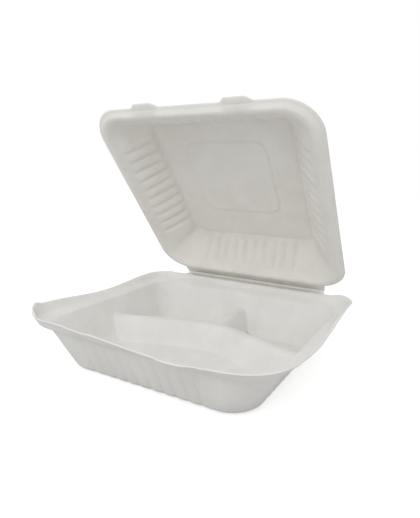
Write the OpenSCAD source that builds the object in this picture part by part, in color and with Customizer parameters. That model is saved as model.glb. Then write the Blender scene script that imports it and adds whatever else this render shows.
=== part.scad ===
// Three-compartment clamshell food container moulded in bagasse pulp, with its lid part open.
// The tray and the lid are one moulding in the real thing, joined by a flat creased neck.
// X runs along the crease, the front of the tray is at -Y and Z is up, in millimetres.
// The origin lies on the table, in the tray's flat underside and midway between its sides.

/* [View] */
// Piece to draw
// Opening of the lid above its flat closed place, in degrees
lid_open = 51.8; // [0:0.1:180]

/* [Pulp] */
// Thickness of the moulded pulp
pulp = 0.9; // [0.8:0.1:1.6]
// Distance from one flute to the next on the front, back and lid walls
flute_pitch = 11.1; // [9:0.1:11.4]
// How far the flutes stand out of the tray's walls
flute_h = 1.5; // [0.4:0.1:2]

/* [Tray rim] */
// Width over the tray's rim
tray_w = 229; // [215:1:245]
// Depth over the tray's rim, without the neck
tray_d = 205; // [198:1:220]
// Radius of the rim's front corners
tray_r_front = 37; // [30:1:44]
// Radius of the rim's back corners
tray_r_back = 26; // [20:1:32]
// Height of the rim where the front sags most
rim_front = 42.8; // [41:0.2:46]
// Height of the rim in the middle of the left side
rim_left = 42.2; // [41:0.2:46]
// Height of the rim in the middle of the right side
rim_right = 40.8; // [40:0.2:46]
// Height of the rim at the front left corner
corner_front_left = 48; // [44:0.2:49]
// Height of the rim at the front right corner
corner_front_right = 46.2; // [44:0.2:49]
// Height of the rim at the back left corner
corner_back_left = 45.4; // [44:0.2:49]
// Height of the rim at the back right corner
corner_back_right = 47.6; // [44:0.2:49]
// Distance of the front's lowest point to the right of the middle
sag_x = 38; // [0:1:45]
// Drop of the rim at the two seats for the lid's tabs
seat_drop = 0.9; // [0:0.1:2]

/* [Tray body] */
// Width of the stepped flange, from the rim in to the top of the wall
flange_w = 13; // [10:0.5:14]
// Width of the flange's steep outer skirt
skirt_w = 5.5; // [4:0.5:7]
// Height of the flange's flat at the foot of the skirt
shelf_z = 39.4; // [38.6:0.2:40.4]
// Height of the top of the wall
wall_z = 36; // [33:0.5:38]
// How far the foot of the side walls lies inside the rim
foot_side = 32.2; // [28:0.2:35]
// How far the foot of the front wall lies inside the rim
foot_front = 29; // [26:0.2:32]
// How far the foot of the back wall lies inside the rim
foot_back = 31; // [27:0.2:34]
// Radius of the tray's corners at the foot
foot_r = 20; // [15:1:24]

/* [Dividers] */
// Height of the dividers' tops above the table
divider_z = 22; // [14:1:28]
// Half of the width of the dividers' rounded tops
divider_top = 3; // [1.5:0.1:4]
// Run of the long divider's slope on the front side
slope_front = 13; // [8:1:18]
// Run of the slopes round the two back compartments
slope_back = 12; // [7:1:13]
// Place of the long divider's middle behind the middle of the rim
arch_y = 22.5; // [10:0.5:30]
// How far the long divider's ends lie in front of its middle
arch_rise = 25; // [0:1:30]
// Place of the short divider to the right of the middle
split_x = 4; // [-10:0.5:10]

/* [Hinge neck] */
// Length of the crease
neck_w = 160; // [140:1:166]
// Distance of the crease behind the middle of the rim
neck_y = 108.5; // [106:0.1:112]
// Height of the crease above the table
neck_z = 44.5; // [44.1:0.1:46]
// Gap between the two halves of the neck along the crease
fold_gap = 0.15; // [0.12:0.01:0.3]

/* [Lid] */
// Width over the lid's rim
lid_w = 207; // [195:1:212]
// Depth over the lid's rim, without the neck and the tabs
lid_d = 203; // [196:1:204]
// Radius of the corners of the lid's rim
lid_r = 29; // [24:1:36]
// Inside depth of the lid
lid_h = 31; // [24:0.5:36]
// Width of the lid's flange
lid_flange_w = 8.5; // [6:0.5:10]
// Width of the rolled edge round the lid's flange
roll_w = 5.5; // [4:0.5:6]
// Depth of the lid's flange below its rolled edge, so that it nests in the tray's rim
roll_h = 3; // [1:0.1:3.4]
// How far the side edges of the lid's top lie inside its rim
lid_slope = 36; // [32:0.5:38]
// How far the front and back edges of the lid's top lie inside its rim
lid_slope_deep = 32; // [28:0.5:33]
// Radius of the corners of the lid's top
lid_top_r = 9; // [7:0.5:10]
// How far the flutes of the lid's walls stand in
lid_flute_h = 2.2; // [0.4:0.1:2.4]
// Shift of the side walls' flutes towards the front
flute_shift = 4; // [0:0.5:4]
// How far the two tabs stand out of the lid's front edge
tab_out = 4.5; // [2:0.5:6]
// Width of the pressed square in the lid's top
square_w = 82; // [60:1:90]
// Depth of the pressed square
square_h = 1.3; // [0.3:0.1:1.5]
// Shift of the pressed square towards the front
square_y = 7; // [0:0.5:10]

/* [Hidden] */
side_n = 28;
half_n = side_n / 2;
ring_n = 4 * side_n;
flat_n = 10;
turn_step = 45 / (half_n - flat_n - 1);
rim_hx = tray_w / 2;
rim_hy = tray_d / 2;
rim_cy = neck_y - 8.5 - rim_hy;
lid_hx = lid_w / 2;
lid_hy = lid_d / 2;
lid_cy = neck_y - 8 - lid_hy;
wide_span = flute_pitch * 5;
deep_span = wide_span * 0.86;
wall_slope_t = pulp * 1.15;
floor_z = pulp;

function clamp(t, a = 0, b = 1) = min(b, max(a, t));
function ease(t) = let (c = clamp(t)) c * c * (3 - 2 * c);
function mix(a, b, t) = a + (b - a) * t;

// Points of a ring are numbered from the front left corner, counter-clockwise seen from above.
// Side 0 is the front, 1 the right, 2 the back and 3 the left; each corner belongs to two sides.
function side_of(k) = floor(k / side_n);
function step_of(k) = k % side_n - half_n;
function place(s, a, b) = s == 0 ? [a, -b] : s == 1 ? [b, a] : s == 2 ? [-a, b] : [-b, -a];

// Straight parts carry evenly spaced points for the flutes; the rest follow the corner's arc.
function ring_point(k, hx, hy, cy, rf, rb, out = 0, wide = wide_span, deep = deep_span, shift = 0) =
    let (
        s = side_of(k),
        i = step_of(k),
        across = s == 0 || s == 2,
        front_end = s == 0 || (s == 1 && i < 0) || (s == 3 && i > 0),
        r = front_end ? rf : rb,
        len = across ? hx : hy,
        far = across ? hy : hx,
        turn = max(0, abs(i) - flat_n - 1) * turn_step,
        lead = s == 1 ? -shift : s == 3 ? shift : 0,
        a = abs(i) <= flat_n
            ? i * (across ? wide : deep) / flat_n + lead
            : sign(i) * (len - r + r * sin(turn)),
        b = far - r + r * cos(turn) + out,
        p = place(s, a, b)
    )
    [p.x, p.y + cy];

// Flute crests lie at the even steps of a side, up to the last one given.
function crest(k, last) =
    let (i = step_of(k)) abs(i) <= last && i % 2 == 0 ? 1 : 0;

// Height of the tray's rim: each side sags between its corners.
function rim_height(x, y, s) =
    s == 0
        ? (x < sag_x
            ? mix(rim_front, corner_front_left, ease((sag_x - x) / (sag_x + 62)))
            : mix(rim_front, corner_front_right, ease((x - sag_x) / (94 - sag_x))))
    : s == 1
        ? (y < -22
            ? mix(rim_right, corner_front_right, ease((-22 - y) / 66))
            : mix(rim_right, corner_back_right, ease((y + 22) / 88)))
    : s == 2
        ? mix(neck_z - fold_gap - 0.2, x > 0 ? corner_back_right : corner_back_left,
              ease((abs(x) - neck_w / 2 - 4) / 19))
        : (y < 5
            ? mix(rim_left, corner_front_left, ease((5 - y) / 82))
            : mix(rim_left, corner_back_left, ease((y - 5) / 66)));

function seat(k) =
    let (i = abs(step_of(k))) side_of(k) == 0 && i >= 5 && i <= 9 ? 1 : 0;

function rim_z(k, p) = rim_height(p.x, p.y, side_of(k)) - seat_drop * seat(k);

// One ring of the tray: an inset from the rim, eased to the foot's inset, and the corner radii.
function tray_ring(k, inset, down, rf, rb, out = 0) =
    let (
        front = mix(inset, inset + foot_front - foot_side, down),
        back = mix(inset, inset + foot_back - foot_side, down),
        hy = rim_hy - (front + back) / 2,
        cy = rim_cy + (front - back) / 2
    )
    ring_point(k, rim_hx - inset, hy, cy, rf, rb, out);

// Half of the neck at the back of a rim ring, with its two square ends.
function neck_point(k, p, edge, trim) =
    let (s = side_of(k), i = step_of(k))
    s != 2 || abs(i) > flat_n + 1 ? p
    : abs(i) == flat_n + 1 ? [-sign(i) * (neck_w / 2 + 1.5 - trim), p.y]
    : abs(i) == flat_n ? [-sign(i) * (neck_w / 2 - trim), edge]
    : [p.x, edge];

// Heights of the dividers: the long one is an arch in plan, the short one runs to the back wall.
function arch_line(x) = arch_y - arch_rise * ease(abs(x) / (rim_hx - 19.5));
function ridge(d, top, run) = ease(1 - (abs(d) - top) / run);
function divider(x, y, low, high, thin) =
    let (
        d = y - arch_line(x),
        long_one = ridge(d, divider_top - thin, (d < 0 ? slope_front : slope_back) - thin / 2),
        short_one = d < 0 ? 0 : ridge(x - split_x, divider_top - thin, slope_back - thin / 2)
    )
    low + (high - low) * max(long_one, short_one);

// Insets of the wall at a height, straight from the wall's top down to the foot.
function wall_inset(z) = mix(foot_side, flange_w, z / wall_z);
function lift(k, p, share) = share * (rim_height(p.x, p.y, side_of(k)) - 42.5);

// Outside of the tray, from the rim down to the flat foot.
function tray_outside() = [
    for (k = [0 : ring_n - 1])
        let (q = tray_ring(k, 0, 0, tray_r_front, tray_r_back), p = neck_point(k, q, neck_y - fold_gap, 0))
        [p.x, p.y, rim_z(k, q) - pulp * 0.75],
    for (k = [0 : ring_n - 1])
        let (p = tray_ring(k, skirt_w, 0, tray_r_front - skirt_w * 0.8, tray_r_back - skirt_w * 0.8))
        [p.x, p.y, shelf_z - pulp + lift(k, p, 0.3)],
    for (k = [0 : ring_n - 1])
        let (p = tray_ring(k, flange_w, 0, tray_r_front - flange_w * 0.7, tray_r_back - flange_w * 0.5,
                           flute_h * 0.15 * crest(k, flat_n)))
        [p.x, p.y, wall_z - pulp + lift(k, p, 0.2)],
    for (k = [0 : ring_n - 1])
        let (p = tray_ring(k, wall_inset(wall_z * 0.6), 0.4, foot_r + 4, foot_r, flute_h * crest(k, flat_n)))
        [p.x, p.y, wall_z * 0.6],
    for (k = [0 : ring_n - 1])
        let (p = tray_ring(k, wall_inset(8), 0.8, foot_r + 1, foot_r - 1, flute_h * crest(k, flat_n)))
        [p.x, p.y, 8],
    for (k = [0 : ring_n - 1])
        let (p = tray_ring(k, wall_inset(2.2), 0.95, foot_r, foot_r - 2, flute_h * crest(k, flat_n)))
        [p.x, p.y, 2.2],
    for (k = [0 : ring_n - 1])
        let (p = tray_ring(k, foot_side + 2.6, 1, foot_r - 3, foot_r - 5))
        [p.x, p.y, 0]
];

function over_divider(p, z) =
    [p.x, p.y, max(z, divider(p.x, p.y, floor_z, divider_z, 0))];

// Inside of the tray, from the rim down to the floor.
function tray_inside() = [
    for (k = [0 : ring_n - 1])
        let (q = tray_ring(k, pulp * 0.9, 0, tray_r_front - 1, tray_r_back - 1),
             p = neck_point(k, q, neck_y - fold_gap, pulp * 0.9))
        [p.x, p.y, rim_z(k, q) + pulp * 0.1],
    for (k = [0 : ring_n - 1])
        let (p = tray_ring(k, skirt_w + pulp * 0.7, 0, tray_r_front - skirt_w, tray_r_back - skirt_w))
        [p.x, p.y, shelf_z + lift(k, p, 0.3)],
    for (k = [0 : ring_n - 1])
        let (p = tray_ring(k, flange_w + wall_slope_t * 0.7, 0, tray_r_front - flange_w * 0.8,
                           tray_r_back - flange_w * 0.6))
        [p.x, p.y, wall_z + lift(k, p, 0.2)],
    for (k = [0 : ring_n - 1])
        let (p = tray_ring(k, wall_inset(wall_z * 0.6) + wall_slope_t, 0.4, foot_r + 3, foot_r - 1))
        over_divider(p, wall_z * 0.6),
    for (k = [0 : ring_n - 1])
        let (p = tray_ring(k, wall_inset(9) + wall_slope_t, 0.8, foot_r, foot_r - 2))
        over_divider(p, 9),
    for (k = [0 : ring_n - 1])
        let (p = tray_ring(k, wall_inset(3.2) + wall_slope_t * 1.6, 0.95, foot_r - 1, foot_r - 3))
        over_divider(p, 3.2),
    for (k = [0 : ring_n - 1])
        let (p = tray_ring(k, foot_side + 4.6, 1, foot_r - 4, foot_r - 6))
        over_divider(p, floor_z)
];

// Two triangles for each step between two rings that start at the points a and b, mirrored on each side.
function strip(a, b) = [
    for (k = [0 : ring_n - 1])
        let (m = (k + 1) % ring_n)
        for (t = step_of(k) < 0
            ? [[a + k, b + k, b + m], [a + k, b + m, a + m]]
            : [[a + k, b + k, a + m], [a + m, b + k, b + m]]) t
];

// Rows of the floor's net that run along the long divider, from its front foot to its back foot.
row_first = 11;
row_places = concat(
    [for (t = [1, 0.66, 0.33, 0]) -divider_top - t * slope_front],
    [for (t = [0, 0.33, 0.66, 1]) divider_top + t * slope_back]);
row_last = row_first + len(row_places) - 1;
function row_y(j, x, low, high) =
    let (mid = arch_line(x))
    j < row_first ? mix(low, mid + row_places[0], j / row_first)
    : j > row_last ? mix(mid + row_places[len(row_places) - 1], high, (j - row_last) / (side_n - row_last))
    : mid + row_places[j - row_first];

// Points inside a ring, blended from its four sides; rows follow the long divider, columns the short one.
function net_points(edge, high) = [
    for (j = [1 : side_n - 1], i = [1 : side_n - 1])
        let (
            f = edge[i],
            b = edge[3 * side_n - i],
            l = edge[(4 * side_n - j) % ring_n],
            r = edge[side_n + j],
            u = (f.x - edge[0].x) / (edge[side_n].x - edge[0].x),
            v = (r.y - edge[side_n].y) / (edge[2 * side_n].y - edge[side_n].y),
            low = mix(edge[0], edge[side_n], u),
            top = mix(edge[3 * side_n], edge[2 * side_n], u),
            p = mix(f, b, v) + mix(l, r, u) - mix(low, top, v),
            side_gap = min(i, side_n - i),
            x = p.x + split_x * ease(side_gap / half_n * 1.4) * ease(j / half_n),
            y = mix(p.y, row_y(j, x, f.y, b.y), clamp(side_gap / 3)),
            q = [x, y],
            gap = min(side_gap, j, side_n - j)
        )
        [x, y, high(q, gap)]
];
function net_index(i, j, ring, first) =
    j == 0 ? ring + i
    : i == side_n ? ring + side_n + j
    : j == side_n ? ring + 3 * side_n - i
    : i == 0 ? ring + 4 * side_n - j
    : first + (j - 1) * (side_n - 1) + i - 1;
function net_faces(ring, first) = [
    for (j = [0 : side_n - 1], i = [0 : side_n - 1])
        let (
            a = net_index(i, j, ring, first),
            b = net_index(i + 1, j, ring, first),
            c = net_index(i + 1, j + 1, ring, first),
            d = net_index(i, j + 1, ring, first),
            rising = (i + 0.5 - half_n) * (j + 0.5 - half_n) > 0
        )
        for (t = rising ? [[a, b, c], [a, c, d]] : [[a, b, d], [b, c, d]]) t
];
function flipped(faces) = [for (f = faces) [f[2], f[1], f[0]]];
function flat(p) = [for (q = p) [q.x, q.y]];
function last_ring(p) = [for (i = [len(p) - ring_n : len(p) - 1]) p[i]];

// Moulded tray: rim, stepped flange, fluted walls, floor and hollow dividers in one skin.
module base_tray() {
    outside = tray_outside();
    inside = tray_inside();
    rings = len(outside) / ring_n;
    under = net_points(flat(last_ring(outside)),
        function(p, gap) clamp((gap - 1) / 2) * max(0, divider(p.x, p.y, -pulp, divider_z - pulp, 1)));
    over = net_points(flat(last_ring(inside)),
        function(p, gap) divider(p.x, p.y, floor_z, divider_z, 0));
    first_in = len(outside);
    net_out = first_in + len(inside);
    net_in = net_out + len(under);
    out_faces = concat(
        [for (r = [0 : rings - 2]) each strip(r * ring_n, (r + 1) * ring_n)],
        flipped(net_faces((rings - 1) * ring_n, net_out)));
    in_faces = concat(
        [for (r = [0 : rings - 2]) each strip(first_in + r * ring_n, first_in + (r + 1) * ring_n)],
        flipped(net_faces(first_in + (rings - 1) * ring_n, net_in)));
    color("#e6e4de")
        polyhedron(
            points = concat(outside, inside, under, over),
            faces = concat(flipped(out_faces), in_faces, strip(0, first_in)),
            convexity = 8);
}

// One ring of the lid in its closed place, with its inset from the lid's rim and how far up the wall it is.
function lid_ring(k, inset, r, out = 0, up = 0) =
    ring_point(k, lid_hx - inset, lid_hy - inset - up * (lid_slope_deep - lid_slope), lid_cy, r, r, out,
               wide_span, wide_span, flute_shift);

// The two tabs at the front edge: a straight middle and slanted ends.
function tab(k) =
    let (i = abs(step_of(k))) side_of(k) == 0 && i >= 6 && i <= 9 ? 1 : 0;

function square_ring(k, half, r) =
    ring_point(k, half, half, lid_cy - square_y, r, r, 0, half - r - 1, half - r - 1, 0);

// Rings of the lid from its rim up to the pressed square; thick is 0 inside and the pulp outside.
function lid_skin(thick) = [
    for (k = [0 : ring_n - 1])
        let (q = lid_ring(k, thick > 0 ? 0 : pulp * 0.6, lid_r, tab_out * tab(k)),
             p = neck_point(k, q, neck_y - fold_gap, thick > 0 ? 0 : pulp * 0.6))
        [p.x, p.y, neck_z + fold_gap + thick - roll_h * 0.5 * tab(k)],
    for (k = [0 : ring_n - 1])
        let (p = lid_ring(k, roll_w * 0.45, lid_r - 2))
        [p.x, p.y, neck_z + fold_gap + thick - roll_h * mix(0.3, 0.75, tab(k))],
    for (k = [0 : ring_n - 1])
        let (p = lid_ring(k, roll_w, lid_r - 4))
        [p.x, p.y, neck_z + fold_gap + thick - roll_h],
    for (k = [0 : ring_n - 1])
        let (p = lid_ring(k, lid_flange_w + (thick > 0 ? 0 : pulp * 0.5), lid_r - 6,
                          lid_flute_h * 0.2 * crest(k, 8)))
        [p.x, p.y, neck_z + fold_gap + thick - roll_h + 0.4],
    for (k = [0 : ring_n - 1])
        let (w = lid_h * 0.88,
             c = mix(lid_flange_w, lid_slope, 0.88) + (thick > 0 ? 0 : pulp * 0.8),
             p = lid_ring(k, c, lid_top_r + 2, -lid_flute_h * crest(k, 8), 0.88))
        [p.x, p.y, neck_z + w + thick * 0.7],
    for (k = [0 : ring_n - 1])
        let (p = lid_ring(k, lid_slope + (thick > 0 ? 0 : pulp * 0.5), lid_top_r, 0, 1))
        [p.x, p.y, neck_z + lid_h + thick],
    for (k = [0 : ring_n - 1])
        let (p = square_ring(k, square_w / 2, 12))
        [p.x, p.y, neck_z + lid_h + thick],
    for (k = [0 : ring_n - 1])
        let (p = square_ring(k, square_w / 2 - 1.8, 10.5))
        [p.x, p.y, neck_z + lid_h - square_h + thick]
];

// Lid turned up about the crease; its inside faces the front.
module lid() {
    outside = lid_skin(pulp);
    inside = lid_skin(0);
    rings = len(outside) / ring_n;
    first_in = len(outside);
    last = (rings - 1) * ring_n;
    out_faces = [for (r = [0 : rings - 2]) each strip(r * ring_n, (r + 1) * ring_n)];
    in_faces = [for (r = [0 : rings - 2]) each strip(first_in + r * ring_n, first_in + (r + 1) * ring_n)];
    color("#e2e1dc")
        translate([0, neck_y, neck_z])
            rotate([-lid_open, 0, 0])
                translate([0, -neck_y, -neck_z])
                    polyhedron(
                        points = concat(outside, inside),
                        faces = concat(
                            out_faces,
                            flipped(in_faces),
                            flipped(strip(0, first_in)),
                            [[for (k = [0 : ring_n - 1]) last + ring_n - 1 - k]],
                            [[for (k = [0 : ring_n - 1]) first_in + last + k]]),
                        convexity = 6);
}

base_tray();
lid();
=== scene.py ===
# A three-compartment clamshell container moulded in bagasse pulp, its lid part open, on a plain white table.
#
# Sizes are in millimetres and turn to metres when a mesh is made. x runs across the front, y from the
# front to the crease, and z up; the tray stands on z = 0.
import math

import bpy
import numpy as np
from mathutils import Matrix, Vector


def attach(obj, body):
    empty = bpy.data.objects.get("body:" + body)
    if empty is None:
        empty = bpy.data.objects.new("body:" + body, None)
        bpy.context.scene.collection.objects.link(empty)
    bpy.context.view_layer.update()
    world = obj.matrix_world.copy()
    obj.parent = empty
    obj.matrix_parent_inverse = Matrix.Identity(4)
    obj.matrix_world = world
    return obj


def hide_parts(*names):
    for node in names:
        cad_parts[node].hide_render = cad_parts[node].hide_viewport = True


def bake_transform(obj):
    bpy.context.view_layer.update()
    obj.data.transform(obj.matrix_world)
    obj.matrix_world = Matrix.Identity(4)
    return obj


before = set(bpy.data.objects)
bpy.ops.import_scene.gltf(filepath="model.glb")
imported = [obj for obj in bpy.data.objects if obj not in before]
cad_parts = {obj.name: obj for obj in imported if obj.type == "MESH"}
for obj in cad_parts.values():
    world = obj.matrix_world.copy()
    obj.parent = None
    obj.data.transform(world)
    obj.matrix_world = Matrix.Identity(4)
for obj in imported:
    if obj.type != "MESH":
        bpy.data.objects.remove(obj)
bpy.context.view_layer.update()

# Thickness of the pulp, and the tray's flutes; on its left and right walls they stand closer.
PULP = 0.9
FLUTE_H, FLUTE_PITCH, CLOSER = 1.5, 11.1, 0.86

# Tray: half width, half depth and middle of the rim, its corners, the steps inside it, and the foot.
RIM_HX, RIM_HY, RIM_CY = 114.5, 102.5, -2.5
RIM_R_FRONT, RIM_R_BACK = 37, 26
SKIRT_W, FLANGE_W = 5.5, 13
SHELF_Z, WALL_Z = 39.4, 36
FOOT_SIDE, FOOT_FRONT, FOOT_BACK, FOOT_R = 32.2, 29, 31, 20
FLOOR_Z = PULP

# Heights of the rim's corners, and the place and height of each side's lowest point.
TOP_FRONT_LEFT, TOP_FRONT_RIGHT, TOP_BACK_LEFT, TOP_BACK_RIGHT = 48, 46.2, 45.4, 47.6
SAG_FRONT, SAG_RIGHT, SAG_LEFT = (38, 42.8), (-22, 40.8), (5, 42.2)
RIM_MIDDLE = 42.5
SEAT_DROP = 0.9

# The pinched front left corner: its tip turns up, the edge beside the tip is pressed in, and the ledge
# under it is tucked in and down.
TIP_UP, NIP_IN, TUCK_IN, TUCK_DOWN = 3.4, 3.2, 1.2, 4

DIVIDER_Z, DIVIDER_TOP = 22, 3
SLOPE_FRONT, SLOPE_BACK = 13, 12
ARCH_Y, ARCH_RISE, ARCH_RUN, SPLIT_X = 22.5, 25, 95, 4

# The neck, and half the gap at its crease.
NECK_HALF, NECK_Y, NECK_Z, FOLD_GAP = 80, 108.5, 44.5, 0.15

# Lid: half width, half depth and middle of its edge, the rolled edge, the walls and the pressed square.
LID_HX, LID_HY, LID_CY, LID_R = 103.5, 101.5, -1, 29
LID_H, LID_FLANGE = 31, 8.5
ROLL_W, ROLL_H = 5.5, 3.4
LID_SLOPE, LID_SLOPE_DEEP, LID_TOP_R = 36, 32, 9
LID_FLUTE_H, FLUTE_SHIFT = 3, 4
TAB_FROM, TAB_TO, TAB_OUT = 5, 10, 4.5
PANEL_DIP = 0.5
SQUARE_HALF, SQUARE_H, SQUARE_Y = 41, 1.4, 7
LID_OPEN = 51.8

# Every ring has four sides of SIDE points; a side runs from the middle of one corner to the middle of the
# next. Half a side is STEPS steps long: FLAT of them hold flutes at two steps to a pitch, one is plain,
# and the rest go round half a corner.
SIDE = 112
RING = 4 * SIDE
STEPS = 14
FLAT = 10
ROUND = STEPS - FLAT - 1
side = np.arange(RING) // SIDE
u = (np.arange(RING) % SIDE - SIDE / 2) / (SIDE / 2)
step = np.abs(u) * STEPS
turn = np.radians(np.clip((step - FLAT - 1) / ROUND, 0, 1) * 45)

# Rows round each edge of a profile, and the most that a rounding takes of the stretch beside it.
ROUNDING_ROWS = 5
MOST_ROUNDED = 0.46


def mix(a, b, t):
    return a + (b - a) * t


def ease(t):
    c = np.clip(t, 0, 1)
    return c * c * (3 - 2 * c)


def filleted(a, b, width):
    """The larger of two heights, with a fillet where they cross above the floor."""
    h = np.clip(0.5 + 0.5 * (b - a) / width, 0, 1)
    top = np.maximum(a, b)
    return top + (mix(a, b, h) + width * h * (1 - h) - top) * ease((top - FLOOR_Z) / 4)


# Rings


def placed(a, b):
    """Points from their distance along a side and out from the middle, for all four sides."""
    return np.choose(side, [a, b, -a, -b]), np.choose(side, [-b, a, b, -a])


def ring(hx, hy, cy, r_front, r_back, out=0, closer=CLOSER, shift=0):
    """A rounded rectangle of evenly fluted straights and true corner arcs, moved out by `out`."""
    across = (side == 0) | (side == 2)
    front_end = (side == 0) | ((side == 1) & (u < 0)) | ((side == 3) & (u > 0))
    r = np.where(front_end, r_front, r_back)
    length = np.where(across, hx, hy)
    far = np.where(across, hy, hx)
    fluted = FLUTE_PITCH * FLAT / 2 * np.where(across, 1, closer)
    plain = mix(fluted, length - r, step - FLAT)
    along = np.where(
        step <= FLAT, step / FLAT * fluted, np.where(step <= FLAT + 1, plain, length - r + r * np.sin(turn))
    )
    lead = np.where(side == 1, -shift, np.where(side == 3, shift, 0)) * np.clip(FLAT + 1 - step, 0, 1)
    x, y = placed(np.sign(u) * along + lead, far - r + r * np.cos(turn) + out)
    return x, y + cy


def flutes(last):
    """1 on a flute's crest and 0 between two flutes, along the straights."""
    return np.where(step <= last + 1, 0.5 + 0.5 * np.cos(math.pi * step), 0)


def ribs():
    """Broad rounded ribs with a narrow groove between two; the last ones run out into the corners."""
    row = np.abs(np.cos(math.pi * step / 2)) ** 0.65
    return np.where(step <= FLAT, row, ease((STEPS - 0.5 - step) / (STEPS - 0.5 - FLAT)))


def swap_neck(x, y, trim):
    """Turns the middle of the back side into the neck, with square ends that flare a little."""
    edge, reach, flare = NECK_Y - FOLD_GAP, NECK_HALF - trim, 1.5
    on_neck = (side == 2) & (step <= FLAT)
    near_neck = (side == 2) & (step <= FLAT + 1)
    wide = np.where(step <= FLAT, step / FLAT * reach, reach + flare * (step - FLAT))
    neck_x = np.where(near_neck, -np.sign(u) * wide, x)
    neck_y = np.where(on_neck, edge, np.where(near_neck, mix(edge, y, step - FLAT), y))
    return neck_x, neck_y


def bend(start, end, control, count):
    """Places along a curve that leaves towards `control` and arrives from it, for one point or a whole ring."""
    t = np.linspace(0, 1, count).reshape(-1, *[1] * np.ndim(start))
    return start * (1 - t) ** 2 + 2 * control * t * (1 - t) + end * t * t


def softened(keys, radii, gap):
    """Rounds the profile through the key rings and adds rows, no more than `gap` apart."""
    keys = [np.stack(key, 1) for key in keys]
    rows = [keys[0]]
    for before, here, after, radius in zip(keys, keys[1:], keys[2:], radii):
        ends = []
        for other in (before, after):
            length = np.linalg.norm(other - here, axis=1, keepdims=True)
            ends.append(here + (other - here) * np.minimum(radius / np.maximum(length, 1e-6), MOST_ROUNDED))
        rows += list(bend(*ends, here, ROUNDING_ROWS))
    rows.append(keys[-1])
    filled = [rows[0]]
    for row in rows[1:]:
        start = filled[-1]
        parts = max(1, math.ceil(np.median(np.linalg.norm(row - start, axis=1)) / gap))
        filled += [mix(start, row, i / parts) for i in range(1, parts + 1)]
    return filled


# Tray


def sag(at, lowest, before, after):
    """Height along a side, up from its lowest point to each end's height over that end's run."""
    place, low = lowest
    (top_before, run_before), (top_after, run_after) = before, after
    return np.where(
        at < place,
        mix(low, top_before, ease((place - at) / run_before)),
        mix(low, top_after, ease((at - place) / run_after)),
    )


def rim_height(x, y):
    """Each side of the tray's rim sags between its corners; the neck lies level, just under the crease."""
    front = sag(x, SAG_FRONT, (TOP_FRONT_LEFT, 100), (TOP_FRONT_RIGHT, 56))
    right = sag(y, SAG_RIGHT, (TOP_FRONT_RIGHT, 66), (TOP_BACK_RIGHT, 88))
    left = sag(y, SAG_LEFT, (TOP_FRONT_LEFT, 82), (TOP_BACK_LEFT, 66))
    corner = np.where(x > 0, TOP_BACK_RIGHT, TOP_BACK_LEFT)
    back = mix(NECK_Z - FOLD_GAP - 0.2, corner, ease((np.abs(x) - NECK_HALF - 4) / 19))
    return np.choose(side, [front, right, back, left])


def lift(x, y, share):
    """How much a ring inside the rim follows its rise and fall."""
    return share * (rim_height(x, y) - RIM_MIDDLE)


def pinch(width, place):
    """1 at a place by the front left corner and 0 away from it, in steps along the ring.

    A place counted from the ring's end stops short at the corner, which leaves a notch there.
    """
    k = np.arange(RING) * 2 * STEPS / SIDE
    away = np.minimum(np.abs(k - place), np.abs(k - place - 8 * STEPS))
    return np.exp(-((away / width) ** 2))


def tab_span():
    """1 along the middle of the two tabs' places at the front, with slanted ends."""
    t = np.clip(np.minimum(step - TAB_FROM, TAB_TO - step), 0, 1)
    return np.where(side == 0, 0.5 * t + 0.5 * ease(t), 0)


def tray_ring(inset, down, r_front, r_back, out=0):
    """A ring of the tray; `down` is 0 at the rim and 1 at the foot, where front and back slope their own way."""
    front = inset + down * (FOOT_FRONT - FOOT_SIDE)
    back = inset + down * (FOOT_BACK - FOOT_SIDE)
    middle = (front - back) / 2
    return ring(RIM_HX - inset, RIM_HY - (front + back) / 2, RIM_CY + middle, r_front, r_back, out)


def rim_edge(inset, r_less):
    """The rim's edge with the neck, the tabs' seats and the pinched corner, and its height."""
    x, y = tray_ring(inset, 0, RIM_R_FRONT - r_less, RIM_R_BACK - r_less)
    top = rim_height(x, y) - SEAT_DROP * tab_span() + TIP_UP * pinch(0.8, 8 * STEPS - 1.2)
    nip = NIP_IN * pinch(1, 0.8)
    return *swap_neck(x + nip, y + nip, inset), top


def ledge_foot(inset, r_front, r_back, drop, out=0):
    """Where the ledge turns down into the wall, tucked under the pinched corner."""
    x, y = tray_ring(inset, 0, r_front, r_back, out)
    tuck = pinch(2.4, 0)
    x, y = x + TUCK_IN * tuck, y + TUCK_IN * tuck
    return x, y, WALL_Z - drop + lift(x, y, 0.2) - TUCK_DOWN * tuck


def wall_inset(z):
    return mix(FOOT_SIDE, FLANGE_W, z / WALL_Z)


def tray_outside():
    *edge, top = rim_edge(0, 0)
    x1, y1 = tray_ring(1.4, 0, RIM_R_FRONT - 1.2, RIM_R_BACK - 1.2)
    x2, y2 = tray_ring(SKIRT_W, 0, RIM_R_FRONT - 4.4, RIM_R_BACK - 4.4)
    keys = [
        (*edge, top - PULP * 0.75),
        (x1, y1, top - PULP * 1.05),
        (x2, y2, SHELF_Z - PULP + lift(x2, y2, 0.2)),
        ledge_foot(FLANGE_W, RIM_R_FRONT - 9.1, RIM_R_BACK - 6.5, PULP, FLUTE_H * 0.15 * flutes(FLAT)),
    ]
    # Height, share of the way down, and what the front and back corners add to the foot's radius.
    for z, down, more_front, more_back in ((WALL_Z * 0.6, 0.4, 4, 0), (8, 0.8, 1, -1), (2.2, 0.95, 0, -2)):
        x, y = tray_ring(wall_inset(z), down, FOOT_R + more_front, FOOT_R + more_back, FLUTE_H * ribs())
        keys.append((x, y, np.full(RING, z)))
    x, y = tray_ring(FOOT_SIDE + 2.6, 1, FOOT_R - 3, FOOT_R - 5)
    keys.append((x, y, np.zeros(RING)))
    return softened(keys, [0.5, 1, 1.5, 4, 3, 2], 4)


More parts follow.
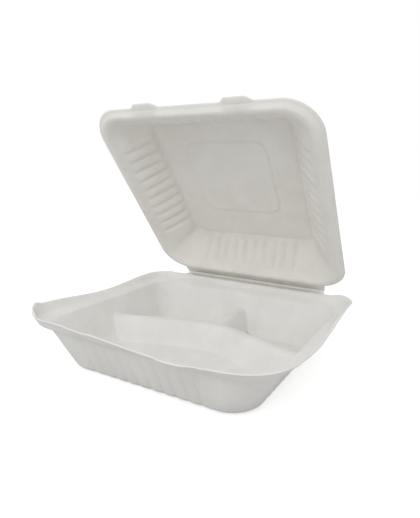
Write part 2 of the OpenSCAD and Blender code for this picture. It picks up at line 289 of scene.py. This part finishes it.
def tray_inside():
    *edge, top = rim_edge(PULP * 0.9, 1)
    x1, y1 = tray_ring(2.2, 0, RIM_R_FRONT - 2, RIM_R_BACK - 2)
    x2, y2 = tray_ring(SKIRT_W + PULP * 0.7, 0, RIM_R_FRONT - SKIRT_W, RIM_R_BACK - SKIRT_W)
    keys = [
        (*edge, top + PULP * 0.1),
        (x1, y1, top - PULP * 0.2),
        (x2, y2, SHELF_Z + lift(x2, y2, 0.2)),
        ledge_foot(FLANGE_W + 0.7, RIM_R_FRONT - 10.4, RIM_R_BACK - 7.8, 0),
    ]
    # As outside, and how many times the pulp's thickness the wall is moved in.
    for z, down, more_front, more_back, thick in (
        (WALL_Z * 0.6, 0.4, 3, -1, 1.15),
        (9, 0.8, 0, -2, 1.15),
        (3.2, 0.95, -1, -3, 1.84),
    ):
        x, y = tray_ring(wall_inset(z) + PULP * thick, down, FOOT_R + more_front, FOOT_R + more_back)
        keys.append((x, y, np.full(RING, z)))
    x, y = tray_ring(FOOT_SIDE + 4.6, 1, FOOT_R - 4, FOOT_R - 6)
    keys.append((x, y, np.full(RING, FLOOR_Z)))
    rows = softened(keys, [0.8, 1.3, 1.3, 7, 4, 4], 1.8)
    for row in rows:
        below_ledge = row[:, 2] < WALL_Z - 8
        high = divider(row[:, 0], row[:, 1], FLOOR_Z, DIVIDER_Z, 0)
        row[:, 2] = np.where(below_ledge, filleted(row[:, 2], high, 4.5), row[:, 2])
    return rows


# Dividers and floor


def arch_line(x):
    return ARCH_Y - ARCH_RISE * ease(np.abs(x) / ARCH_RUN)


def ridge(d, top, run):
    return ease(1 - (np.abs(d) - top) / run)


def divider(x, y, low, high, thin):
    """Height of the hollow dividers: an arch from side to side and a short straight one to the back."""
    d = y - arch_line(x)
    long_one = ridge(d, DIVIDER_TOP - thin, np.where(d < 0, SLOPE_FRONT, SLOPE_BACK) - thin / 2)
    short_one = np.where(d < 0, 0, ridge(x - SPLIT_X, DIVIDER_TOP - thin, SLOPE_BACK - thin / 2))
    return mix(low, high, np.maximum(long_one, short_one))


def wave(x, y, phase):
    """A slow unevenness, as wet pulp dries; 1 at most."""
    long_wave = np.sin(x * 0.071 + phase) * np.sin(y * 0.083 + phase * 1.7)
    return (long_wave + 0.5 * np.sin(x * 0.17 - y * 0.13 + phase * 2.3)) / 1.5


# Rows of the floor's net that follow the long divider: its foot, both slopes and its top.
ROW_FIRST = 11
ROW_PLACES = np.array(
    [-DIVIDER_TOP - t * SLOPE_FRONT for t in (1, 0.66, 0.33, 0)]
    + [DIVIDER_TOP + t * SLOPE_BACK for t in (0, 0.33, 0.66, 1)]
)
ROW_LAST = ROW_FIRST + len(ROW_PLACES) - 1


def row_y(j, x, low, high):
    """Where row j of the net lies at x, between the front edge and the back edge."""
    middle = arch_line(x)
    inner = middle + np.interp(j, ROW_FIRST + np.arange(len(ROW_PLACES)), ROW_PLACES)
    before = mix(low, middle + ROW_PLACES[0], j / ROW_FIRST)
    after = mix(middle + ROW_PLACES[-1], high, (j - ROW_LAST) / (2 * STEPS - ROW_LAST))
    return np.where(j < ROW_FIRST, before, np.where(j > ROW_LAST, after, inner))


def net(edge, follow=True):
    """Points inside a ring in rows and columns, blended from its four sides, and how many steps each
    lies from the ring. With `follow` the rows run along the dividers."""
    i, j = np.meshgrid(np.arange(1, SIDE), np.arange(1, SIDE))
    front, back = edge[i], edge[3 * SIDE - i]
    left, right = edge[(4 * SIDE - j) % RING], edge[SIDE + j]
    c0, c1, c2, c3 = edge[0], edge[SIDE], edge[2 * SIDE], edge[3 * SIDE]
    a = ((front[..., 0] - c0[0]) / (c1[0] - c0[0]))[..., None]
    v = ((right[..., 1] - c1[1]) / (c2[1] - c1[1]))[..., None]
    p = mix(front, back, v) + mix(left, right, a) - mix(mix(c0, c1, a), mix(c3, c2, a), v)
    steps = 2 * STEPS / SIDE
    side_gap = np.minimum(i, SIDE - i) * steps
    gap = np.minimum(side_gap, np.minimum(j, SIDE - j) * steps)
    x, y = p[..., 0], p[..., 1]
    if follow:
        x = x + SPLIT_X * ease(side_gap / STEPS * 1.4) * ease(j * steps / STEPS)
        y = mix(y, row_y(j * steps, x, front[..., 1], back[..., 1]), np.clip(side_gap / 3, 0, 1))
    return x, y, gap


# Meshes


class Shell:
    """Collects points and four-sided faces for one piece of the moulding."""

    def __init__(self):
        self.points, self.faces, self.count = [], [], 0

    def add(self, points):
        first = self.count
        self.points.append(points)
        self.count += len(points)
        return first

    def skin(self, rows, flip):
        starts = [self.add(row) for row in rows]
        for a, b in zip(starts, starts[1:]):
            self.join(a, b, flip)
        return starts[0], starts[-1]

    def join(self, a, b, flip=False, count=RING):
        k = np.arange(count)
        m = (k + 1) % count
        quads = np.stack([a + k, a + m, b + m, b + k], 1)
        self.faces += (quads[:, ::-1] if flip else quads).tolist()

    def fill(self, edge_start, x, y, z, flip):
        """Closes a ring with its net; the grid's border is the ring's own points."""
        inside = self.add(np.stack([x, y, z], -1).reshape(-1, 3))
        along = np.arange(SIDE + 1)
        grid = np.empty((SIDE + 1, SIDE + 1), int)
        grid[1:-1, 1:-1] = inside + np.arange((SIDE - 1) ** 2).reshape(SIDE - 1, SIDE - 1)
        grid[0], grid[:, -1] = edge_start + along, edge_start + SIDE + along
        grid[-1], grid[:, 0] = edge_start + 3 * SIDE - along, edge_start + (4 * SIDE - along) % RING
        quads = np.stack([grid[:-1, :-1], grid[:-1, 1:], grid[1:, 1:], grid[1:, :-1]], -1).reshape(-1, 4)
        self.faces += (quads[:, ::-1] if flip else quads).tolist()

    def make(self, name, opened=None):
        points = np.concatenate(self.points)
        if opened is not None:
            points = opened(points)
        mesh = bpy.data.meshes.new(name)
        mesh.from_pydata((points / 1000).tolist(), [], self.faces)
        mesh.validate()
        mesh.shade_smooth()
        mesh.update()
        obj = bpy.data.objects.new(name, mesh)
        bpy.context.scene.collection.objects.link(obj)
        return obj


def build_tray():
    shell = Shell()
    out_rows, in_rows = tray_outside(), tray_inside()
    for row in out_rows + in_rows:
        on_wall = ease((row[:, 2] - 3) / 12) * ease((44 - row[:, 2]) / 6)
        row[:, 0] += 0.35 * on_wall * wave(row[:, 1], row[:, 2], 1.3)
        row[:, 1] += 0.35 * on_wall * wave(row[:, 0], row[:, 2], 2.9)
    out_first, out_last = shell.skin(out_rows, True)
    in_first, in_last = shell.skin(in_rows, False)
    shell.join(out_first, in_first)
    x, y, gap = net(out_rows[-1][:, :2])
    hollow = np.maximum(0, divider(x, y, -PULP, DIVIDER_Z - PULP, 1))
    shell.fill(out_last, x, y, np.clip((gap - 1) / 2, 0, 1) * hollow, True)
    x, y, gap = net(in_rows[-1][:, :2])
    floor = divider(x, y, FLOOR_Z, DIVIDER_Z, 0) + 0.12 * wave(x, y, 0.4) * np.clip(gap / 2, 0, 1)
    shell.fill(in_last, x, y, floor, False)
    return shell.make("tray_moulding")


# Lid, built flat and shut, then turned up about the crease.


def lid_ring(inset, r, out=0, up=0):
    """A ring of the lid; `up` is 0 at the edge and 1 at the top, where front and back slope less."""
    hy = LID_HY - inset - up * (LID_SLOPE_DEEP - LID_SLOPE)
    return ring(LID_HX - inset, hy, LID_CY, r, r, out, 1, FLUTE_SHIFT)


def square_ring(half, r):
    """A square ring whose straights are shared out evenly, so that it lies under the panel's ring."""
    straight = half - r - 1
    plain = mix(straight, half - r, step - FLAT)
    along = np.where(
        step <= FLAT, step / FLAT * straight, np.where(step <= FLAT + 1, plain, half - r + r * np.sin(turn))
    )
    x, y = placed(np.sign(u) * along, half - r + r * np.cos(turn))
    return x, y + LID_CY - SQUARE_Y


def lid_skin(thick):
    """Rows of the lid's outside, PULP above its inside, or of its inside with `thick` 0."""
    inside = thick == 0
    level = np.full(RING, NECK_Z + FOLD_GAP + thick)
    tab = tab_span()
    trim = PULP * 0.6 if inside else 0
    keys = [(*swap_neck(*lid_ring(trim, LID_R, TAB_OUT * tab), trim), level - ROLL_H * 0.5 * tab)]
    # The rolled edge, from its lip down to the flange; the tabs leave it lower.
    keys.append((*lid_ring(0.9, LID_R - 0.7), level + (0.1 - ROLL_H * 0.5) * tab - 0.1))
    keys.append((*lid_ring(ROLL_W * 0.45, LID_R - 2), level - ROLL_H * mix(0.22, 0.75, tab)))
    keys.append((*lid_ring(ROLL_W, LID_R - 4), level - ROLL_H))
    flange = LID_FLANGE + (PULP * 0.5 if inside else 0)
    keys.append((*lid_ring(flange, LID_R - 6, LID_FLUTE_H * 0.2 * flutes(8)), level - ROLL_H + 0.4))
    # The wall: share of the way up, and share of the flutes' depth there.
    foot, top = NECK_Z + FOLD_GAP - ROLL_H + 0.4, NECK_Z + LID_H
    for up, deep in ((0.14, 0), (0.3, 1), (0.82, 1), (0.93, 0.25)):
        inset = mix(LID_FLANGE, LID_SLOPE, up) + (PULP * 0.8 if inside else 0)
        x, y = lid_ring(inset, mix(LID_R - 6, LID_TOP_R, up), -LID_FLUTE_H * deep * ribs(), up)
        keys.append((x, y, np.full(RING, mix(foot, top, up) + thick * 0.8)))
    # The panel, a little lower than its own edge, and the square pressed into it.
    edge, panel = np.full(RING, top + thick), np.full(RING, top + thick - PANEL_DIP)
    keys.append((*lid_ring(LID_SLOPE + (PULP * 0.5 if inside else 0), LID_TOP_R, 0, 1), edge))
    keys.append((*lid_ring(LID_SLOPE + 2.4, LID_TOP_R - 1.5, 0, 1), panel))
    for half, r, down in ((SQUARE_HALF, 12, 0), (SQUARE_HALF - 1.4, 10.8, 1), (SQUARE_HALF - 5, 9, 1)):
        keys.append((*square_ring(half, r), panel - SQUARE_H * down))
    return softened(keys, [0.4, 1.4, 1.1, 1.6, 2, 2, 2, 1, 0.8, 1, 0.5, 0.5, 1], 3)


def open_lid(points):
    """Turns the shut lid up about the crease."""
    t = math.radians(-LID_OPEN)
    y, z = points[:, 1] - NECK_Y, points[:, 2] - NECK_Z
    turned = points.copy()
    turned[:, 1] = y * math.cos(t) - z * math.sin(t) + NECK_Y
    turned[:, 2] = y * math.sin(t) + z * math.cos(t) + NECK_Z
    return turned


def build_lid():
    shell = Shell()
    firsts = []
    for thick in (PULP, 0):
        rows, inside = lid_skin(thick), thick == 0
        for row in rows:
            above_flange = ease((row[:, 2] - NECK_Z - 4) / 10)
            row[:, 2] += 0.3 * above_flange * wave(row[:, 0], row[:, 1], 0.7)
        first, last = shell.skin(rows, inside)
        firsts.append(first)
        x, y, _ = net(rows[-1][:, :2], follow=False)
        z = NECK_Z + LID_H + thick - PANEL_DIP - SQUARE_H + 0.3 * wave(x, y, 0.7)
        shell.fill(last, x, y, z, inside)
    shell.join(*firsts, True)
    return shell.make("lid_moulding", open_lid)


# Crease: the bent pulp that joins the two halves of the neck and fills the fold between them.

CREASE_REACH = 2.2
CREASE_COLUMNS = 80


def build_crease():
    """One closed section, repeated along the neck, with both ends closed."""
    a = math.radians(LID_OPEN)
    fold = np.array([NECK_Y, NECK_Z])
    on_lid = fold + CREASE_REACH * np.array([-math.cos(a), math.sin(a)])
    off_lid = np.array([math.sin(a), math.cos(a)])
    outer = bend(fold + (-CREASE_REACH, -0.98), on_lid + off_lid * 1.01, fold + (1.9, -0.35), 24)
    inner = bend(fold + (-CREASE_REACH, -0.3), on_lid + off_lid * 0.19, fold + (-1.5, 0.7), 24)
    section = np.concatenate([outer, inner[::-1]])
    count = len(section)
    shell = Shell()
    half = NECK_HALF - PULP
    starts = [
        shell.add(np.column_stack([np.full(count, x), section])) for x in np.linspace(-half, half, CREASE_COLUMNS)
    ]
    for left, right in zip(starts, starts[1:]):
        shell.join(left, right, count=count)
    for k in range(len(outer) - 1):
        end = (k, k + 1, count - 2 - k, count - 1 - k)
        shell.faces.append([starts[-1] + v for v in end])
        shell.faces.append([starts[0] + v for v in reversed(end)])
    return shell.make("crease_web")


# Materials


def linear(code):
    """An sRGB hex colour as linear red, green, blue and alpha."""
    parts = [int(code[i : i + 2], 16) / 255 for i in (1, 3, 5)]
    return [c / 12.92 if c <= 0.04045 else ((c + 0.055) / 1.055) ** 2.4 for c in parts] + [1]


def per_metre(size):
    """How often a pattern of this size in millimetres repeats in a metre."""
    return 1000 / size


def add(tree, kind, links=None, values=None, **settings):
    """Adds a node, sets its own settings and its sockets' values, and links sockets given as (node, output)."""
    node = tree.nodes.new(kind)
    for key, value in settings.items():
        setattr(node, key, value)
    for key, value in (values or {}).items():
        node.inputs[key].default_value = value
    for key, (source, output) in (links or {}).items():
        tree.links.new(source.outputs[output], node.inputs[key])
    return node


def ramp(tree, source, output, stops):
    node = add(tree, "ShaderNodeValToRGB", {"Fac": (source, output)})
    for element, (place, colour) in zip(node.color_ramp.elements, stops):
        element.position = place
        element.color = colour
    return node


BLACK, WHITE = (0, 0, 0, 1), (1, 1, 1, 1)


def moulded_bagasse_pulp(name, shaded, bright, fibre):
    """Bleached sugar-cane pulp, pressed hot in a mould: matt off-white with soft clouds, a few short
    fibres and a felted, slightly uneven face."""
    material = bpy.data.materials.new(name)
    material.use_nodes = True
    tree = material.node_tree
    tree.nodes.clear()
    place = add(tree, "ShaderNodeTexCoord")
    here = {"Vector": (place, "Object")}

    def noise(size, detail, roughness=0.5):
        values = {"Scale": per_metre(size), "Detail": detail, "Roughness": roughness}
        return add(tree, "ShaderNodeTexNoise", here, values)

    # Clouds, where the pulp settled thicker or thinner, are about 26 mm wide.
    cloud = noise(26.3, 4, 0.6)
    tint = ramp(tree, cloud, "Fac", [(0.35, linear(shaded)), (0.65, linear(bright))])
    # Real fibres are about 0.1 mm by 2 mm; they are drawn some 0.8 mm by 2.4 mm, so that they show,
    # lie askew over each 11 mm and come in sparse groups.
    askew = noise(11.1, 1)
    nudge = add(tree, "ShaderNodeVectorMath", {0: (askew, "Color")}, {"Scale": 0.006}, operation="SCALE")
    strewn = add(tree, "ShaderNodeVectorMath", {0: (place, "Object"), 1: (nudge, 0)}, operation="ADD")
    drawn_out = add(tree, "ShaderNodeMapping", {"Vector": (strewn, 0)}, {"Scale": (1, 0.35, 0.6)})
    strand = add(tree, "ShaderNodeTexVoronoi", {"Vector": (drawn_out, 0)}, {"Scale": per_metre(3.03)}, feature="F1")
    speck = ramp(tree, strand, "Distance", [(0.08, WHITE), (0.2, BLACK)])
    group = ramp(tree, noise(3.846, 0), "Fac", [(0.6, BLACK), (0.7, WHITE)])
    sparse = add(tree, "ShaderNodeMath", {0: (speck, "Color"), 1: (group, "Color")}, operation="MULTIPLY")
    faint = add(tree, "ShaderNodeMath", {0: (sparse, 0)}, {1: 0.35}, operation="MULTIPLY")
    factor, first, second = 0, 6, 7
    colour = add(
        tree,
        "ShaderNodeMix",
        {factor: (faint, 0), first: (tint, "Color")},
        {second: linear(fibre)},
        data_type="RGBA",
    )
    # The felted face: clumps about 1 mm wide, over dents about 6 mm wide.
    clump, dent = noise(1.111, 3, 0.65), noise(6.25, 2)
    felt = add(tree, "ShaderNodeBump", {"Height": (clump, "Fac")}, {"Strength": 0.22, "Distance": 0.0003})
    pressed = {"Height": (dent, "Fac"), "Normal": (felt, 0)}
    uneven = add(tree, "ShaderNodeBump", pressed, {"Strength": 0.3, "Distance": 0.0006})
    matt = add(tree, "ShaderNodeMapRange", {"Value": (cloud, "Fac")}, {"To Min": 0.78, "To Max": 0.94})
    shader = add(
        tree,
        "ShaderNodeBsdfPrincipled",
        {"Base Color": (colour, 2), "Roughness": (matt, 0), "Normal": (uneven, 0)},
        {"IOR": 1.47, "Sheen Weight": 0.12, "Sheen Roughness": 0.6},
    )
    add(tree, "ShaderNodeOutputMaterial", {"Surface": (shader, 0)})
    return material


def white_table():
    """A seamless white table that shows as white and keeps the soft shadow under the container."""
    material = bpy.data.materials.new("white_table")
    material.use_nodes = True
    tree = material.node_tree
    tree.nodes.clear()
    rays = add(tree, "ShaderNodeLightPath")
    paint = add(tree, "ShaderNodeBsdfDiffuse", values={"Color": (0.66, 0.66, 0.66, 1)})
    glow = add(tree, "ShaderNodeEmission", values={"Color": WHITE, "Strength": 0.6})
    both = add(tree, "ShaderNodeAddShader", {0: (paint, 0), 1: (glow, 0)})
    seen = add(tree, "ShaderNodeMixShader", {"Fac": (rays, "Is Camera Ray"), 1: (paint, 0), 2: (both, 0)})
    add(tree, "ShaderNodeOutputMaterial", {"Surface": (seen, 0)})
    return material


# Pieces, and the bodies they move with

tray = build_tray()
tray.data.materials.append(moulded_bagasse_pulp("tray_pulp", "#e3e2df", "#e9e8e5", "#cfc8b8"))
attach(tray, "tray")
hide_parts("base_tray")

lid = build_lid()
lid.data.materials.append(moulded_bagasse_pulp("lid_pulp", "#e3e1db", "#e9e7e2", "#cfc6b4"))
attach(lid, "cover")
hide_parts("lid")

crease = build_crease()
# The crease's pulp has lighter, slightly yellower tones than the tray's and the lid's: painted light that brightens
# the fold against the shade that gathers there.
crease.data.materials.append(moulded_bagasse_pulp("crease_pulp_painted_light", "#eae7df", "#f0eee7", "#d6cdb9"))
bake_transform(crease)

# Table, camera and light, in metres

bpy.ops.mesh.primitive_plane_add(size=6, location=(0, 0, -0.0002))
table = bpy.context.object
table.name = "table"
table.data.materials.append(white_table())

CAMERA_PLACE = (0.1918, -0.3162, 0.1618)
YAW, PITCH, ROLL = (math.radians(a) for a in (29.9, 11.4, 0.9))

camera = bpy.data.objects.new("camera", bpy.data.cameras.new("camera"))
bpy.context.scene.collection.objects.link(camera)
camera.data.lens = 30.47
camera.data.sensor_width = 36
ahead = Vector((-math.sin(YAW) * math.cos(PITCH), math.cos(YAW) * math.cos(PITCH), -math.sin(PITCH)))
level = Vector((math.cos(YAW), math.sin(YAW), 0))
upright = level.cross(ahead)
right = level * math.cos(ROLL) + upright * math.sin(ROLL)
up = upright * math.cos(ROLL) - level * math.sin(ROLL)
camera.matrix_world = Matrix.Translation(CAMERA_PLACE) @ Matrix((right, up, -ahead)).transposed().to_4x4()
bpy.context.scene.camera = camera

world = bpy.data.worlds.new("studio")
bpy.context.scene.world = world
world.use_nodes = True
sky = world.node_tree
sky.nodes.clear()
rays = add(sky, "ShaderNodeLightPath")
seen = add(sky, "ShaderNodeMath", {0: (rays, "Is Camera Ray"), 1: (rays, "Is Glossy Ray")}, operation="MAXIMUM")
seen_all = add(sky, "ShaderNodeMath", {0: (seen, 0), 1: (rays, "Is Transmission Ray")}, operation="MAXIMUM")
strength = add(sky, "ShaderNodeMapRange", {"Value": (seen_all, 0)}, {"To Min": 0.86, "To Max": 1})
backdrop = add(sky, "ShaderNodeBackground", {"Strength": (strength, 0)}, {"Color": WHITE})
add(sky, "ShaderNodeOutputWorld", {"Surface": (backdrop, 0)})


def softbox(name, place, aim, size, power):
    lamp = bpy.data.lights.new(name, "AREA")
    lamp.shape = "RECTANGLE"
    lamp.size, lamp.size_y = size
    lamp.energy = power
    obj = bpy.data.objects.new(name, lamp)
    obj.location = place
    obj.rotation_euler = (Vector(aim) - Vector(place)).to_track_quat("-Z", "Y").to_euler()
    bpy.context.scene.collection.objects.link(obj)


softbox("key_softbox", (0.05, -0.85, 0.85), (0, 0, 0.08), (0.6, 0.6), 2.6)

bpy.context.scene.view_settings.view_transform = "Standard"
